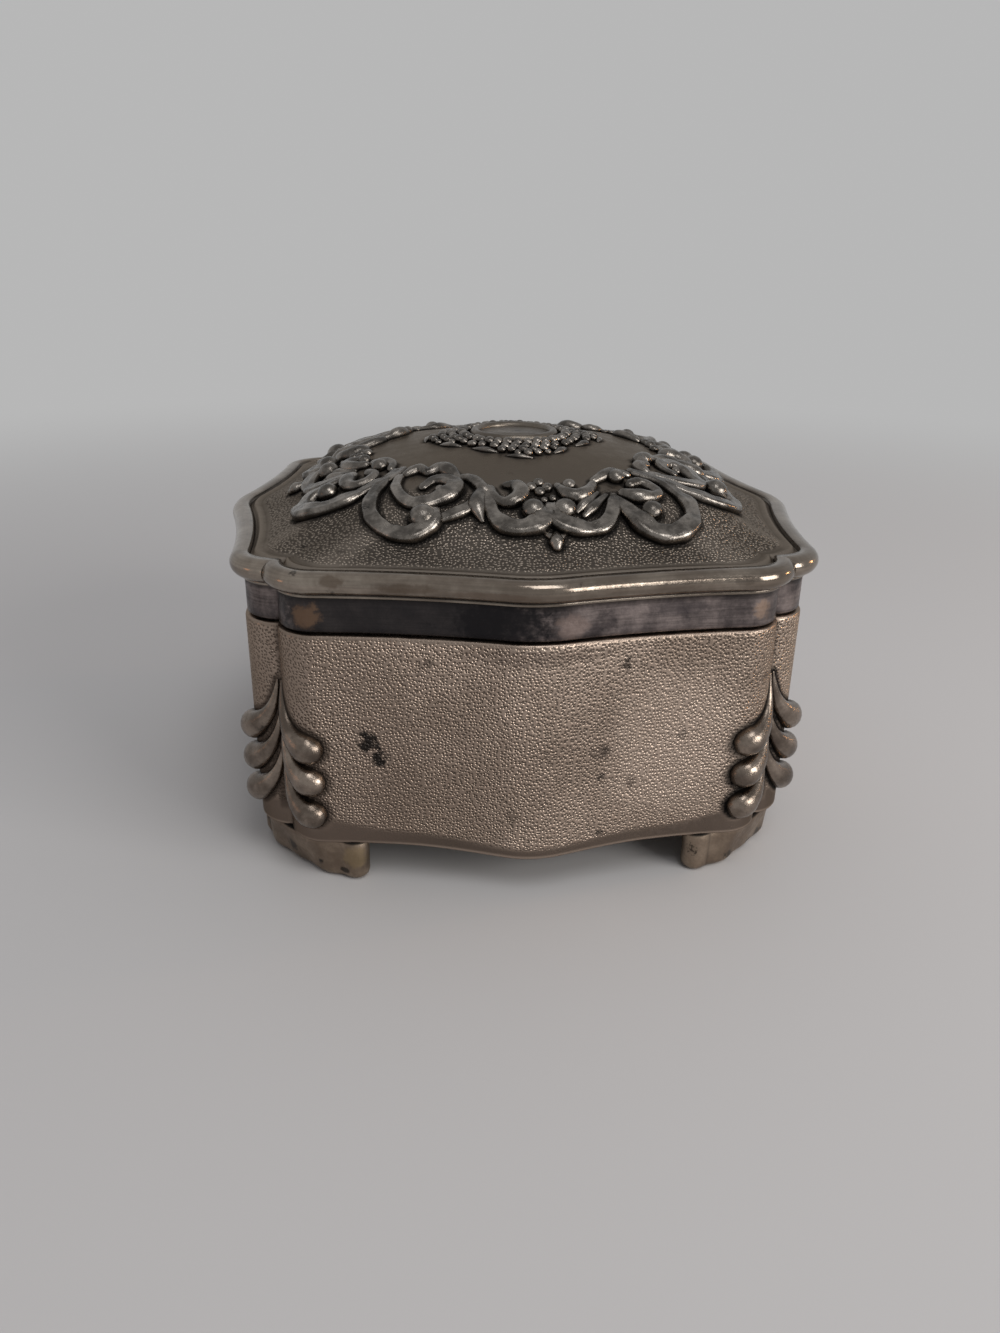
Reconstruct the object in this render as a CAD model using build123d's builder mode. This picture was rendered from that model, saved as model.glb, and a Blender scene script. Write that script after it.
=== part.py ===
from build123d import *
from math import asin, cos, sin
import os

# Footed trinket box in cast metal, lid closed.
# Millimetres, +Z up, front towards -Y, origin on the table under the middle of the box.

# Plan of the box, as the front right half side: the middle of the side, the end of its rounded
# swell, the start of the corner lobe, and the notch on the diagonal where two sides meet
half_width = 55.2
swell_end = (5.0, -54.55)
lobe_start = (36.3, -49.6)
notch = 43.2
notch_radius = 0.8

# Heights
foot_height = 8.0
wall_top = 47.8
seam_gap = 0.4
band_height = 6.8
bead_height = 3.9
lid_seat_height = 2.1

# Body wall and base plate
wall = 2.2
rebate_wall = 1.2
plate_thickness = 1.5
plate_clearance = 0.1
apron_drop = 1.0
apron_half_width = 23.0

# Corner spray of polished drops, three on each side of a notch
drops_per_side = 3
drop_radius = 2.6
drop_along = 37.6
drop_across = 49.4
tail_radius = 0.8
tail_along = 42.9
tail_across = 44.6
drop_first_height = 14.0
drop_pitch = 6.4
drop_rise = 6.2

# Bracket feet
foot_inset = 1.0
foot_wall = 4.0
toe_along = 31.4
toe_across = 47.7
toe_radius = 2.6
foot_edge = 0.8

# Lid rim
band_inset = 0.4
band_wall = 2.0
bead_proud = 1.9
bead_root = 1.0
ledge_inset = 4.6
seat_inset = 1.5
lip_height = 0.7

# Lid dome: height, half width, then the plan as shares of the half width: end of the swell (y),
# start of the corner lobe (x and y) and the corner on the diagonal
dome_levels = [
    (58.0, 53.3, 0.988, 0.658, 0.899, 0.782),
    (60.7, 45.5, 0.989, 0.640, 0.903, 0.792),
    (65.0, 37.5, 0.991, 0.570, 0.915, 0.800),
    (68.3, 29.0, 0.994, 0.500, 0.925, 0.785),
    (70.7, 18.0, 0.996, 0.420, 0.925, 0.745),
    (71.6, 9.0, 0.996, 0.380, 0.925, 0.707),
]
swell_share = 0.0906
dome_thickness = 1.8
flange_step = 0.3
medallion_radius = 7.9
medallion_ring = 0.9
medallion_lift = 0.8

# Scroll relief on one side of the dome, as seen from above: each arm is an arc given by its start,
# a point on the way, its end and its width, and each knob by its place and radius
relief_height = 1.3
scroll_arms = [
    ((-23.0, -20.5), (-27.6, -30.0), (-25.8, -37.4), 2.4),
    ((-26.4, -36.6), (-22.4, -39.8), (-17.6, -38.0), 3.0),
    ((-22.6, -25.0), (-20.6, -32.8), (-12.8, -29.8), 2.6),
    ((-7.4, -30.6), (-5.4, -38.6), (1.6, -39.8), 2.8),
    ((3.9, -37.4), (9.6, -40.2), (15.0, -32.6), 2.8),
    ((15.4, -32.8), (22.6, -40.2), (28.4, -34.6), 3.0),
    ((28.4, -34.8), (26.2, -27.2), (19.8, -22.0), 2.4),
]
scroll_knobs = [
    (-18.0, -36.4, 2.4),
    (2.1, -30.7, 2.2),
]

# Berries round the medallion, in a bunch on each side: radius of each row and how many it has
berry_radius = 1.2
berry_crown = 0.5
berry_height = 0.8
berry_sink = 0.6
berry_rows = [(10.9, 4), (14.2, 5)]
berry_spacing = 14.0

# Hinge at the back, its axis along X in the seam
hinge_radius = 1.15
hinge_pin_radius = 0.6
pin_clearance = 0.05
hinge_length = 24.0
hinge_knuckles = 5
knuckle_gap = 0.2
leaf_thickness = 0.7
leaf_height = 4.2
hinge_relief = 0.35
shelf_drop = 1.32
shelf_height = 0.9
hinge_root_depth = 4.0
heel_relief = 0.1
heel_height = 3.0

# Lining
lining = 1.1
lining_corner_gap = 0.4
lining_top = 46.6
floor_pad_edge = 1.9
floor_pad_crown = 0.8
lid_pad_edge = 1.5
lid_pad_crown = 0.7
pad_clearance = 0.3

floor_bottom = foot_height
floor_top = foot_height + plate_thickness
band_bottom = wall_top + seam_gap
band_top = band_bottom + band_height
bead_top = band_top + bead_height
seat_level = band_top + lid_seat_height
dome_foot = dome_levels[0][0]
dome_top = dome_levels[-1][0]
hinge_y = half_width + bead_proud - hinge_radius
hinge_z = wall_top + seam_gap / 2
side_names = ("front", "right", "rear", "left")
corner_names = ("front_right", "rear_right", "rear_left", "front_left")

# Plane of a section through the middle of the front: x outward from the wall face, y up
section_plane = Plane((0, -half_width, 0), x_dir=(0, -1, 0), z_dir=(-1, 0, 0))
mitre_run = 8.0


def plan_of(middle, swell, lobe, corner, notch_round=0.0):
    """Closed plan with four like sides, each mirrored about its middle, meeting on the diagonals."""
    with BuildSketch() as side:
        with BuildLine():
            first = TangentArc(middle, swell, tangent=(1, 0))
            second = TangentArc(swell, lobe, tangent=first % 1)
            TangentArc(lobe, (corner, -corner), tangent=second % 1)
            mirror(about=Plane.YZ)
            Polyline((corner, -corner), (0, 0), (-corner, -corner))
        make_face()
    with BuildSketch() as plan:
        with PolarLocations(0, 4):
            add(side.sketch)
        if notch_round > 0:
            fillet([v for v in plan.vertices() if abs(abs(v.X) - abs(v.Y)) < 0.01], notch_round)
    return plan.sketch


def box_plan(inset=0.0):
    """Plan of the box, drawn in by inset, or let out where inset is negative."""
    with BuildSketch() as plan:
        add(plan_of((0, -half_width), swell_end, lobe_start, notch, notch_radius))
        if inset != 0:
            offset(amount=-inset, kind=Kind.ARC if inset > 0 else Kind.INTERSECTION)
    return plan.sketch


def slab(inset, bottom, top):
    """Solid with the plan of the box between two heights."""
    with BuildPart() as block:
        with BuildSketch(Plane.XY.offset(bottom)):
            add(box_plan(inset))
        extrude(amount=top - bottom)
    return block.part


def run_round_box(section):
    """Solid made by running a section round the plan, with a mitre at each corner notch."""
    with BuildPart() as half:
        with BuildLine():
            first = TangentArc((0, -half_width), swell_end, tangent=(1, 0))
            second = TangentArc(swell_end, lobe_start, tangent=first % 1)
            third = TangentArc(lobe_start, (notch, -notch), tangent=second % 1)
            Line(third @ 1, third @ 1 + mitre_run * (third % 1))
        add(section)
        sweep()
        split(bisect_by=Plane((0, 0, 0), z_dir=(-1, -1, 0)), keep=Keep.TOP)
    with BuildPart() as ring:
        add(half.part)
        mirror(about=Plane.YZ)
        quarter = ring.part
        with PolarLocations(0, 4):
            add(quarter)
    return ring.part


def dome_solid(drop, shrink):
    """Solid under the domed skin, lowered by drop and drawn in by shrink."""
    with BuildPart() as dome:
        for height, half, swell_y, lobe_x, lobe_y, corner in dome_levels:
            size = half - shrink
            with BuildSketch(Plane.XY.offset(height - drop)):
                add(plan_of(
                    (0, -size),
                    (swell_share * size, -swell_y * size),
                    (lobe_x * size, -lobe_y * size),
                    corner * size,
                ))
        loft()
    return dome.part


# Straight ring of the wall, rebated below for the base plate
with BuildPart() as wall_ring:
    add(slab(0, foot_height, wall_top))
    add(slab(wall, foot_height, wall_top), mode=Mode.SUBTRACT)
    add(slab(rebate_wall, foot_height, floor_top), mode=Mode.SUBTRACT)
    with Locations((0, hinge_y, hinge_z)):
        Cylinder(
            hinge_radius + hinge_relief,
            hinge_length + 2 * knuckle_gap,
            rotation=(0, 90, 0),
            mode=Mode.SUBTRACT,
        )

# Shallow apron under the middle of each side
with BuildPart() as apron:
    with BuildSketch(Plane.XY.offset(foot_height - apron_drop)) as border:
        add(box_plan(0))
        add(box_plan(rebate_wall), mode=Mode.SUBTRACT)
    extrude(amount=apron_drop)
    with BuildSketch(Plane.XZ.offset(half_width + 1)):
        with BuildLine():
            crest = (0, foot_height - apron_drop)
            Spline(
                (-apron_half_width, foot_height),
                crest,
                (apron_half_width, foot_height),
                tangents=((1, 0), (1, 0), (1, 0)),
            )
            Line((apron_half_width, foot_height), (-apron_half_width, foot_height))
        make_face()
    extrude(amount=-half_width / 2, mode=Mode.INTERSECT)

# One polished drop: a round bulb on the lobe and a tail that rises into the notch
with BuildPart() as drop:
    bulb = Vector(drop_along, -drop_across, 0)
    tail = Vector(tail_along, -tail_across, drop_rise) - bulb
    tail_taper = asin((drop_radius - tail_radius) / tail.length)
    with Locations(bulb):
        Sphere(drop_radius)
    with Locations(Plane(bulb + tail.normalized() * drop_radius * sin(tail_taper), z_dir=tail)):
        Cone(
            drop_radius * cos(tail_taper),
            tail_radius * cos(tail_taper),
            tail.length,
            align=(Align.CENTER, Align.CENTER, Align.MIN),
        )

# The spray of one corner: three drops on the front face, mirrored onto the side face
with BuildPart() as spray:
    with Locations(*[(0, 0, drop_first_height + step * drop_pitch) for step in range(drops_per_side)]):
        add(drop.part)
    mirror(about=Plane((0, 0, 0), z_dir=(1, 1, 0)))

# Body wall: the ring, the aprons and the sprays in one casting
with BuildPart() as body_wall:
    add(wall_ring.part)
    with PolarLocations(0, 4):
        add(apron.part)
        add(spray.part)
    add(slab(wall, floor_top, wall_top), mode=Mode.SUBTRACT)
    add(slab(rebate_wall, foot_height - apron_drop, floor_top), mode=Mode.SUBTRACT)
body_wall.part.label = "body_wall"

# Base plate, let into the rebate of the wall
with BuildPart() as base_plate:
    add(slab(rebate_wall + plate_clearance, floor_bottom, floor_top))
base_plate.part.label = "base_plate"

# Bracket foot at the front right corner: a wall round the notch with a rolled toe at each end
with BuildPart() as bracket_foot:
    with BuildSketch():
        add(box_plan(foot_inset))
        add(box_plan(foot_inset + foot_wall), mode=Mode.SUBTRACT)
        with Locations((half_width, -half_width)):
            Rectangle(
                2 * (half_width - toe_along),
                2 * (half_width - toe_along),
                mode=Mode.INTERSECT,
            )
        with Locations((toe_along, -toe_across), (toe_across, -toe_along)):
            Circle(toe_radius)
    extrude(amount=foot_height)
    chamfer(bracket_foot.faces().sort_by(Axis.Z)[0].outer_wire().edges(), foot_edge)

feet = []
for turn, corner_name in enumerate(corner_names):
    with BuildPart() as foot:
        add(bracket_foot.part, rotation=(0, 0, 90 * turn))
    foot.part.label = "foot_" + corner_name
    feet.append(foot.part)

# Lid rim: the dark band, a thin lip and the half round bead, with a ledge inside for the dome
with BuildSketch(section_plane) as bead_section:
    with BuildLine():
        Polyline((0, bead_top), (-bead_root, bead_top), (-bead_root, band_top), (0, band_top))
        ThreePointArc((0, bead_top), (bead_proud, band_top + bead_height / 2), (0, band_top))
    make_face()
with BuildPart() as lid_rim:
    add(run_round_box(bead_section.sketch))
    add(slab(0, band_top - lip_height, bead_top))
    add(slab(band_inset, band_bottom, band_top))
    add(slab(band_inset + band_wall, band_bottom, band_top), mode=Mode.SUBTRACT)
    add(slab(ledge_inset, band_top, seat_level), mode=Mode.SUBTRACT)
    add(slab(seat_inset, seat_level, bead_top), mode=Mode.SUBTRACT)
    with Locations((0, hinge_y, hinge_z)):
        Cylinder(
            hinge_radius + hinge_relief,
            hinge_length + 2 * knuckle_gap,
            rotation=(0, 90, 0),
            mode=Mode.SUBTRACT,
        )
lid_rim.part.label = "lid_rim"

# Scroll relief of one side: flat outlines carried up to a skin that stands over the dome
with BuildPart() as scroll_relief:
    with BuildSketch(Plane.XY.offset(dome_foot)):
        for start, way, end, width in scroll_arms:
            SlotArc(Edge.make_three_point_arc(start, way, end), width)
        for x, y, radius in scroll_knobs:
            with Locations((x, y)):
                Circle(radius)
    extrude(amount=dome_top - dome_foot)
    add(dome_solid(-relief_height, 0), mode=Mode.INTERSECT)

# One bunch of blunt berries, in two rows
with BuildPart() as berry_bunch:
    for row_radius, count in berry_rows:
        spread = berry_spacing * (count - 1)
        with Locations(Plane.XY.offset(dome_top - berry_sink)):
            with PolarLocations(
                row_radius,
                count,
                start_angle=-90 - spread / 2,
                angular_range=spread,
                endpoint=True,
            ):
                Cone(
                    berry_radius,
                    berry_crown,
                    berry_sink + berry_height,
                    align=(Align.CENTER, Align.CENTER, Align.MIN),
                )

# Lid dome: a lofted shell on a flat flange, with the scrolls, the berries and the ring cast on
with BuildPart() as lid_dome:
    add(slab(seat_inset + plate_clearance, seat_level, dome_foot))
    add(dome_solid(0, 0))
    with PolarLocations(0, 4):
        add(scroll_relief.part)
        add(berry_bunch.part)
    with BuildSketch(Plane.XZ):
        with Locations((medallion_radius, dome_top + medallion_lift)):
            Circle(medallion_ring)
        with Locations((medallion_radius, dome_top)):
            Rectangle(2 * medallion_ring, 2 * medallion_lift)
    revolve(axis=Axis.Z)
    add(slab(ledge_inset, seat_level, seat_level + flange_step), mode=Mode.SUBTRACT)
    add(dome_solid(dome_thickness, dome_thickness), mode=Mode.SUBTRACT)
lid_dome.part.label = "lid_dome"


def hinge_leaf(inset, leaf_bottom, eyes, block, bore_radius):
    """Half of the hinge: a leaf bent to the back of the box, its block and the eyes it carries."""
    pitch = hinge_length / hinge_knuckles
    with BuildPart() as leaf:
        add(slab(inset - leaf_thickness, leaf_bottom, leaf_bottom + leaf_height))
        with Locations((0, half_width, leaf_bottom + leaf_height / 2)):
            Box(hinge_length, half_width, leaf_height, mode=Mode.INTERSECT)
        for eye in eyes:
            middle = (eye - (hinge_knuckles - 1) / 2) * pitch
            with BuildSketch(Plane.YZ.offset(middle)):
                with Locations((hinge_y, hinge_z)):
                    Circle(hinge_radius)
                with BuildLine():
                    Polyline(*block, close=True)
                make_face()
            extrude(amount=(pitch - knuckle_gap) / 2, both=True)
        add(slab(inset, wall_top - 2 * leaf_height, band_top), mode=Mode.SUBTRACT)
        with Locations((0, hinge_y, hinge_z)):
            Cylinder(bore_radius, hinge_length, rotation=(0, 90, 0), mode=Mode.SUBTRACT)
    return leaf.part


# Body half of the hinge: three eyes on a leaf, with a shelf that stops the lid just past upright
shelf_top = hinge_z - shelf_drop
shelf_back = hinge_y + hinge_radius
leaf_root = half_width - hinge_root_depth
body_leaf_bottom = shelf_top - shelf_height - leaf_height
with BuildPart() as hinge_leaf_body:
    add(hinge_leaf(
        inset=0,
        leaf_bottom=body_leaf_bottom,
        eyes=(0, 2, 4),
        block=(
            (hinge_y - hinge_radius, hinge_z),
            (hinge_y - hinge_radius, shelf_top - shelf_height),
            (shelf_back, shelf_top - shelf_height),
            (shelf_back, hinge_z),
        ),
        bore_radius=hinge_pin_radius,
    ))
    with BuildSketch(Plane.YZ) as shelf:
        with BuildLine():
            Polyline(
                (leaf_root, shelf_top),
                (shelf_back, shelf_top),
                (shelf_back, shelf_top - shelf_height),
                (half_width, shelf_top - 3 * shelf_height),
                (leaf_root, shelf_top - 3 * shelf_height),
                close=True,
            )
        make_face()
    extrude(amount=hinge_length / 2, both=True)
    add(slab(0, body_leaf_bottom, wall_top), mode=Mode.SUBTRACT)
hinge_leaf_body.part.label = "hinge_leaf_body"

# Lid half of the hinge: two eyes whose flat backs come down on the shelf when the lid is open
lid_leaf_bottom = hinge_z + hinge_radius + hinge_relief + knuckle_gap
heel = hinge_radius - heel_relief
with BuildPart() as hinge_leaf_lid:
    add(hinge_leaf(
        inset=band_inset,
        leaf_bottom=lid_leaf_bottom,
        eyes=(1, 3),
        block=(
            (hinge_y - hinge_radius, hinge_z),
            (hinge_y - hinge_radius, lid_leaf_bottom),
            (leaf_root, lid_leaf_bottom),
            (leaf_root, lid_leaf_bottom + leaf_height),
            (half_width + leaf_thickness / 2, lid_leaf_bottom + leaf_height),
            (hinge_y + heel, hinge_z + heel_height),
            (hinge_y + heel, hinge_z),
        ),
        bore_radius=hinge_pin_radius + pin_clearance,
    ))
hinge_leaf_lid.part.label = "hinge_leaf_lid"

# Hinge pin
with BuildPart() as hinge_pin:
    with Locations((0, hinge_y, hinge_z)):
        Cylinder(hinge_pin_radius, hinge_length + 2 * knuckle_gap, rotation=(0, 90, 0))
    fillet(hinge_pin.edges().filter_by(GeomType.CIRCLE), hinge_pin_radius / 3)
hinge_pin.part.label = "hinge_pin"

# Lining of the front side, a covered card that follows the wall from notch to notch
with BuildPart() as lining_strip:
    with BuildSketch(Plane.XY.offset(floor_top)):
        add(box_plan(wall))
        add(box_plan(wall + lining), mode=Mode.SUBTRACT)
        with BuildLine():
            Polyline(
                (0, -lining_corner_gap),
                (half_width, -half_width - lining_corner_gap),
                (half_width, -2 * half_width),
                (-half_width, -2 * half_width),
                (-half_width, -half_width - lining_corner_gap),
                close=True,
            )
        make_face(mode=Mode.INTERSECT)
    extrude(amount=lining_top - floor_top)

linings = []
for turn, side_name in enumerate(side_names):
    with BuildPart() as strip:
        add(lining_strip.part, rotation=(0, 0, 90 * turn))
    strip.part.label = "lining_" + side_name
    linings.append(strip.part)


def crown_sphere(rise):
    """Radius of the sphere that rises by the crown over the half width of the box."""
    return (half_width ** 2 + rise ** 2) / (2 * rise)


# Floor pad, a covered card padded a little higher in the middle
with BuildPart() as floor_pad:
    pad_top = floor_top + floor_pad_edge + floor_pad_crown
    add(slab(wall + lining + pad_clearance, floor_top, pad_top))
    with Locations((0, 0, pad_top - crown_sphere(floor_pad_crown))):
        Sphere(crown_sphere(floor_pad_crown), mode=Mode.INTERSECT)
floor_pad.part.label = "floor_pad"

# Lid pad, against the underside of the ledge in the rim
with BuildPart() as lid_pad:
    pad_bottom = band_top - lid_pad_edge - lid_pad_crown
    add(slab(band_inset + band_wall + pad_clearance, pad_bottom, band_top))
    with Locations((0, 0, pad_bottom + crown_sphere(lid_pad_crown))):
        Sphere(crown_sphere(lid_pad_crown), mode=Mode.INTERSECT)
lid_pad.part.label = "lid_pad"

pieces = [
    body_wall.part,
    base_plate.part,
    *feet,
    *linings,
    floor_pad.part,
    hinge_leaf_body.part,
    hinge_pin.part,
    lid_rim.part,
    lid_dome.part,
    hinge_leaf_lid.part,
    lid_pad.part,
]
os.makedirs("parts", exist_ok=True)
for piece in pieces:
    export_step(piece, f"parts/{piece.label}.step")
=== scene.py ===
import math

import bmesh
import bpy
from mathutils import Matrix, Vector, noise
from mathutils.bvhtree import BVHTree
from mathutils.kdtree import KDTree


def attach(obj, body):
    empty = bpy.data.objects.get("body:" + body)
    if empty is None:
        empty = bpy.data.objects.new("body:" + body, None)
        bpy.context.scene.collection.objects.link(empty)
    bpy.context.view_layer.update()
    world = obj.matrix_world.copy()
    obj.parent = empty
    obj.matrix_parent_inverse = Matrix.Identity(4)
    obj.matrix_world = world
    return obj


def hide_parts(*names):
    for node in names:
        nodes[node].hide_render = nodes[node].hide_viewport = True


# Footed trinket box in cast metal, antique silver finish, velvet inside.
# The shapes are worked out in millimetres in the frame of the CAD model (+Z up, front towards -Y)
# and put in metres when a piece is finished.

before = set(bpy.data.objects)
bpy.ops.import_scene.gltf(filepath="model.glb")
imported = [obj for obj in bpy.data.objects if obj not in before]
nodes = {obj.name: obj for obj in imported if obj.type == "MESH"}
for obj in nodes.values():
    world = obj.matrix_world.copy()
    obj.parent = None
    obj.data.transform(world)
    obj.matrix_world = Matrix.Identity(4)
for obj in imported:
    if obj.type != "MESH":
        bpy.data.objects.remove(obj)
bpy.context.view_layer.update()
MM = 0.001

# Sizes
# Plan of the box, as the front right half side
HALF_WIDTH = 55.2
SWELL_END = (5.0, -54.55)
LOBE_START = (36.3, -49.6)
NOTCH = (43.2, -43.2)
SIDE_STEPS = (8, 50, 22)

FOOT_HEIGHT = 8.0
WALL_TOP = 47.8
BAND_BOTTOM = 48.2
BAND_TOP = 55.0
BEAD_TOP = 58.9
SEAT_LEVEL = 57.1

WALL = 2.2
FLOOR_TOP = 9.5
APRON_DROP = 1.0
APRON_HALF_WIDTH = 23.0
APRON_FADE = 8.6
BORDER_HEIGHT = 2.6
BORDER_RISE = 2.4

BAND_INSET = 0.4
BAND_WALL = 2.0
BEAD_PROUD = 1.9
LEDGE_INSET = 4.6
SEAT_INSET = 1.5
LIP_HEIGHT = 0.7

# Dome: height, half width, then the plan as shares of the half width: end of the swell (y),
# start of the corner lobe (x and y) and the corner on the diagonal
DOME_LEVELS = (
    (58.0, 53.3, 0.988, 0.658, 0.899, 0.782),
    (60.7, 45.5, 0.989, 0.640, 0.903, 0.792),
    (65.0, 37.5, 0.991, 0.570, 0.915, 0.800),
    (68.3, 29.0, 0.994, 0.500, 0.925, 0.785),
    (70.7, 18.0, 0.996, 0.420, 0.925, 0.745),
    (71.6, 9.0, 0.996, 0.380, 0.925, 0.707),
)
SWELL_SHARE = 0.0906
DOME_THICKNESS = 1.8
KNOB_HEIGHT = 0.85
RING_RADIUS = 7.9
RING_THICKNESS = 0.9
RING_LIFT = 0.8

FOOT_INSET = 1.0
FOOT_WALL = 4.0
TOE = (31.4, -47.7)
TOE_RADIUS = 2.6
TOE_GROOVE = 33.6
FOOT_SLOPE = 1.6

LINING = 1.1
LINING_TOP = 46.6
LINING_GAP = 0.4
PAD_CLEARANCE = 0.3
# Pads: the level each rests on, that of its edge and that of its crown
FLOOR_PAD = (FLOOR_TOP, 11.45, 12.2)
LID_PAD = (BAND_TOP, 53.45, 52.8)
PAD_EDGE = 0.8


# Plan of the box
def turned(vector, angle):
    """The flat vector turned anticlockwise."""
    return Vector((
        vector.x * math.cos(angle) - vector.y * math.sin(angle),
        vector.x * math.sin(angle) + vector.y * math.cos(angle),
    ))


def arc_from(start, heading, end):
    """Arc that leaves start along heading and ends at end, as its start, heading, radius and turn."""
    chord = end - start
    left = Vector((-heading.y, heading.x))
    radius = chord.length_squared / (2 * chord.dot(left))
    turn = 2 * math.atan2(chord.dot(left), chord.dot(heading))
    return start, heading, radius, turn


def half_side(middle, swell, lobe, corner):
    """The three arcs from the middle of the front to the notch at its right."""
    points = [Vector(middle), Vector(swell), Vector(lobe), Vector(corner)]
    heading = Vector((1, 0))
    arcs = []
    for start, end in zip(points, points[1:]):
        arcs.append(arc_from(start, heading, end))
        heading = turned(heading, arcs[-1][3])
    return arcs


def on_side(arcs, part, share, inset, gap=0.0):
    """Point and heading on one arc of a half side, drawn in by inset, kept on its side of the notch."""
    start, heading, radius, turn = arcs[part]
    left = Vector((-heading.y, heading.x))
    centre = start + left * radius
    point = centre - turned(left, turn * share) * radius
    heading = turned(heading, turn * share)
    point = point + Vector((-heading.y, heading.x)) * inset
    last = part == len(arcs) - 1 and share > 0.999
    past = point.x + point.y + gap
    if last or past > 0:
        point = point - heading * past / (heading.x + heading.y)
    return point, heading


BOX_ARCS = half_side((0, -HALF_WIDTH), SWELL_END, LOBE_START, NOTCH)
SIDE_LENGTHS = [abs(radius * turn) for _, _, radius, turn in BOX_ARCS]
WALL_LENGTH = sum(SIDE_LENGTHS)


def column_place(column):
    """Arc number, share of that arc and distance along the wall of a column of the side mesh."""
    done = 0.0
    for part, steps in enumerate(SIDE_STEPS):
        if column <= steps or part == len(SIDE_STEPS) - 1:
            share = column / steps
            return part, share, done + share * SIDE_LENGTHS[part]
        column -= steps
        done += SIDE_LENGTHS[part]


def along_wall(distance, inset=0.0):
    """Point and heading on the wall at a distance from the middle of the side."""
    for part, length in enumerate(SIDE_LENGTHS):
        if distance <= length or part == len(SIDE_LENGTHS) - 1:
            return on_side(BOX_ARCS, part, distance / length, inset)
        distance -= length


def box_point(part, share, inset, height, gap=0.0):
    """Point on the plan of the box, drawn in by inset, at a height."""
    point, _ = on_side(BOX_ARCS, part, share, inset, gap)
    return Vector((point.x, point.y, height))


# Meshes
def quarter_turn(turn):
    """Turn of a shape from the front to the side with this number, anticlockwise."""
    return Matrix.Rotation(turn * math.pi / 2, 3, "Z")


def close_mesh(mesh):
    """Closes the open edges of a mesh and points its faces outwards."""
    bmesh.ops.holes_fill(mesh, edges=[edge for edge in mesh.edges if edge.is_boundary], sides=0)
    bmesh.ops.recalc_face_normals(mesh, faces=mesh.faces)


def smooth_step(value):
    """Smooth rise from 0 to 1."""
    value = min(max(value, 0.0), 1.0)
    return value * value * (3 - 2 * value)


def spline_row(rows, position):
    """Values between the rows of a table, on a smooth curve through them."""
    index = min(int(position), len(rows) - 2)
    share = position - index
    around = [rows[max(0, min(len(rows) - 1, index + k))] for k in (-1, 0, 1, 2)]
    values = []
    for a, b, c, d in zip(*around):
        bend = 2 * a - 5 * b + 4 * c - d + share * (3 * (b - c) + d - a)
        values.append(b + share / 2 * (c - a + share * bend))
    return values


def mask_layer(mesh, name):
    """Vertex mask of a mesh, made when it isn't there."""
    return mesh.verts.layers.float.get(name) or mesh.verts.layers.float.new(name)


def grid_sides(rows, place, paint=None, copies=4):
    """Mesh laid over a half side, row by row, then mirrored and turned to the sides.

    place(row, part, share) gives the point, and paint(row, distance, point) the masks by name. A UV
    map holds the distance round the box and the distance down the rows, in metres."""
    columns = sum(SIDE_STEPS)
    mesh = bmesh.new()
    bmesh.ops.create_grid(mesh, x_segments=columns, y_segments=rows - 1, size=1)
    uv = mesh.loops.layers.uv.new("surface")
    masks = {name: mask_layer(mesh, name) for name in ("pebbled", "worn", "recess")}
    seat = {}
    for vert in mesh.verts:
        column = round((vert.co.x + 1) / 2 * columns)
        row = round((vert.co.y + 1) / 2 * (rows - 1))
        part, share, distance = column_place(column)
        vert.co = place(row, part, share)
        seat[vert] = (row, distance)
        if paint:
            for name, value in paint(row, distance, vert.co).items():
                vert[masks[name]] = value
    middle = {seat[vert][0]: vert.co.copy() for vert in mesh.verts if seat[vert][1] == 0}
    down = [0.0]
    for row in range(1, rows):
        down.append(down[-1] + (middle[row] - middle[row - 1]).length)
    for face in mesh.faces:
        for loop in face.loops:
            row, distance = seat[loop.vert]
            loop[uv].uv = (distance * MM, down[row] * MM)
    turn_to_sides(mesh, copies)
    return mesh


def copy_shape(mesh, shape):
    """Doubles part of a mesh and gives back the new points and faces."""
    made = bmesh.ops.duplicate(mesh, geom=shape)["geom"]
    verts = [item for item in made if isinstance(item, bmesh.types.BMVert)]
    faces = [item for item in made if isinstance(item, bmesh.types.BMFace)]
    return verts, faces


def turn_round(mesh, copies=4):
    """Repeats a shape on the sides of the box, each further along the UV map."""
    uv = mesh.loops.layers.uv.active
    side = mesh.verts[:] + mesh.edges[:] + mesh.faces[:]
    for turn in range(1, copies):
        verts, faces = copy_shape(mesh, side)
        bmesh.ops.rotate(mesh, cent=(0, 0, 0), matrix=quarter_turn(turn), verts=verts)
        if uv:
            for face in faces:
                for loop in face.loops:
                    loop[uv].uv.x += 2 * turn * WALL_LENGTH * MM
    bmesh.ops.recalc_face_normals(mesh, faces=mesh.faces)


def turn_to_sides(mesh, copies=4):
    """Mirrors a half side across the middle of the front and turns it to the other sides."""
    uv = mesh.loops.layers.uv.active
    verts, faces = copy_shape(mesh, mesh.verts[:] + mesh.edges[:] + mesh.faces[:])
    bmesh.ops.scale(mesh, vec=(-1, 1, 1), verts=verts)
    bmesh.ops.reverse_faces(mesh, faces=faces)
    if uv:
        for face in faces:
            for loop in face.loops:
                loop[uv].uv.x *= -1
    turn_round(mesh, copies)
    bmesh.ops.remove_doubles(mesh, verts=mesh.verts, dist=0.002)
    bmesh.ops.dissolve_degenerate(mesh, dist=0.0005, edges=mesh.edges)
    bmesh.ops.recalc_face_normals(mesh, faces=mesh.faces)


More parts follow.
